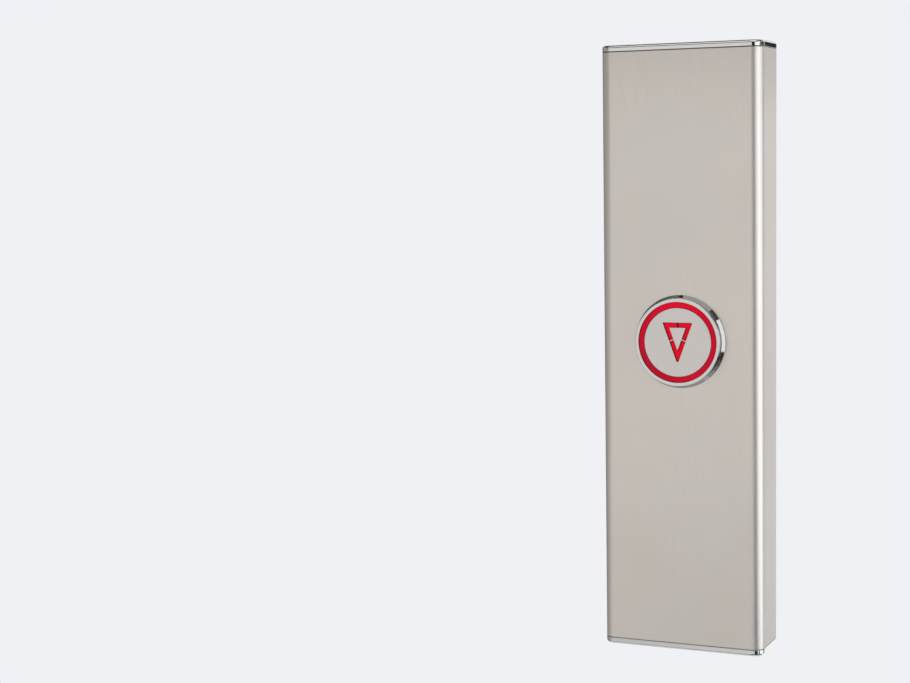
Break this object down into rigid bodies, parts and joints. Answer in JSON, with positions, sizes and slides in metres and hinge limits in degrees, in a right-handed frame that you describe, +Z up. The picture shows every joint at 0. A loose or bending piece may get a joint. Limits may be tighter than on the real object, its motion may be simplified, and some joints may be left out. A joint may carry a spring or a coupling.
{
  "type": "lift landing call button station",
  "caption": "Tall slim wall-mounted push button station: folded satin steel cover, polished end caps and one round lit button with a stencilled down arrow in a red ring.",
  "frame": {"origin": "on the wall plane, in the middle of the four wall screw holes, at the housing's mid-height", "axes": "+Z up the housing, +Y into the wall, -Y out of the wall towards the user, +X to the user's right"},
  "size_m": [0.075, 0.0305, 0.2758],
  "materials": {
    "satin_steel": "fine vertical satin grain",
    "polished_cap": "polished and chromed",
    "chrome_bezel": "polished and chromed",
    "disc_steel": "fine matt satin",
    "red_lens": "translucent red",
    "galvanised": "zinc coated",
    "zinc_fastener": "bright zinc",
    "screw_steel": "plain stainless",
    "washer_steel": "hardened spring steel",
    "plated_brass": "nickel over brass",
    "black_rubber": "matt rubber",
    "black_plastic": "fine moulded",
    "opal_plastic": "light-diffusing",
    "stem_plastic": "acetal",
    "board_laminate": "solder mask",
    "light_body": "moulded light",
    "tinned_contact": "tinned",
    "white_nylon": "natural nylon",
    "grey_sheath": "soft sheath",
    "earth_sheath": "green and yellow sheath",
    "chip_epoxy": "moulded epoxy",
    "capacitor_can": "drawn can",
    "terminal_green": "moulded",
    "terminal_steel": "zinc plated"
  },
  "bodies": {
    "station": {"front_cover": "satin_steel", "top_end_cap": "polished_cap", "bottom_end_cap": "polished_cap", "button_bezel": "chrome_bezel", "halo_lens": "red_lens", "wall_tray": "galvanised", "cap_studs": "zinc_fastener", "cap_nuts": "zinc_fastener", "clinch_nut": "zinc_fastener", "lid_screws": "zinc_fastener", "board_studs": "zinc_fastener", "board_nuts": "zinc_fastener", "earth_studs": "zinc_fastener", "earth_washers": "zinc_fastener", "earth_nuts": "zinc_fastener", "security_screw": "screw_steel", "lock_washer": "washer_steel", "return_spring": "washer_steel", "clamp_nut": "plated_brass", "board_spacers": "plated_brass", "cable_bush": "black_rubber", "bezel_gasket": "black_rubber", "button_housing": "black_plastic", "housing_lid": "black_plastic", "switch_body": "black_plastic", "led_board": "board_laminate", "main_board": "board_laminate", "halo_leds": "light_body", "arrow_leds": "light_body", "switch_terminals": "tinned_contact", "button_header_pins": "tinned_contact", "board_header_pins": "tinned_contact", "chip_legs": "tinned_contact", "earth_tags": "tinned_contact", "terminal_clamps": "tinned_contact", "crystal": "tinned_contact", "button_header": "white_nylon", "board_header": "white_nylon", "lead_plugs": "white_nylon", "button_lead": "grey_sheath", "earth_lead": "earth_sheath", "main_chip": "chip_epoxy", "driver_chip": "chip_epoxy", "regulator": "chip_epoxy", "chip_parts": "chip_epoxy", "capacitors": "capacitor_can", "terminal_block": "terminal_green", "terminal_screws": "terminal_steel"},
    "button": {"button_disc": "disc_steel", "arrow_lens": "red_lens", "plunger": "opal_plastic", "retaining_ring": "washer_steel"},
    "switch_stem_body": {"switch_stem": "stem_plastic"}
  },
  "joints": [
    {"name": "button_press", "type": "slide", "parent": "station", "child": "button", "axis": [0, 1, 0], "range_m": [0, 0.0015], "stiffness_N_per_m": 800, "springref_m": -0.003, "deforming": ["return_spring"]},
    {"name": "switch_press", "type": "slide", "parent": "station", "child": "switch_stem_body", "axis": [0, 1, 0], "range_m": [0, 0.0015]}
  ],
  "couplings": [
    {"joint": "switch_press", "follows": "button_press", "ratio": 1}
  ]
}
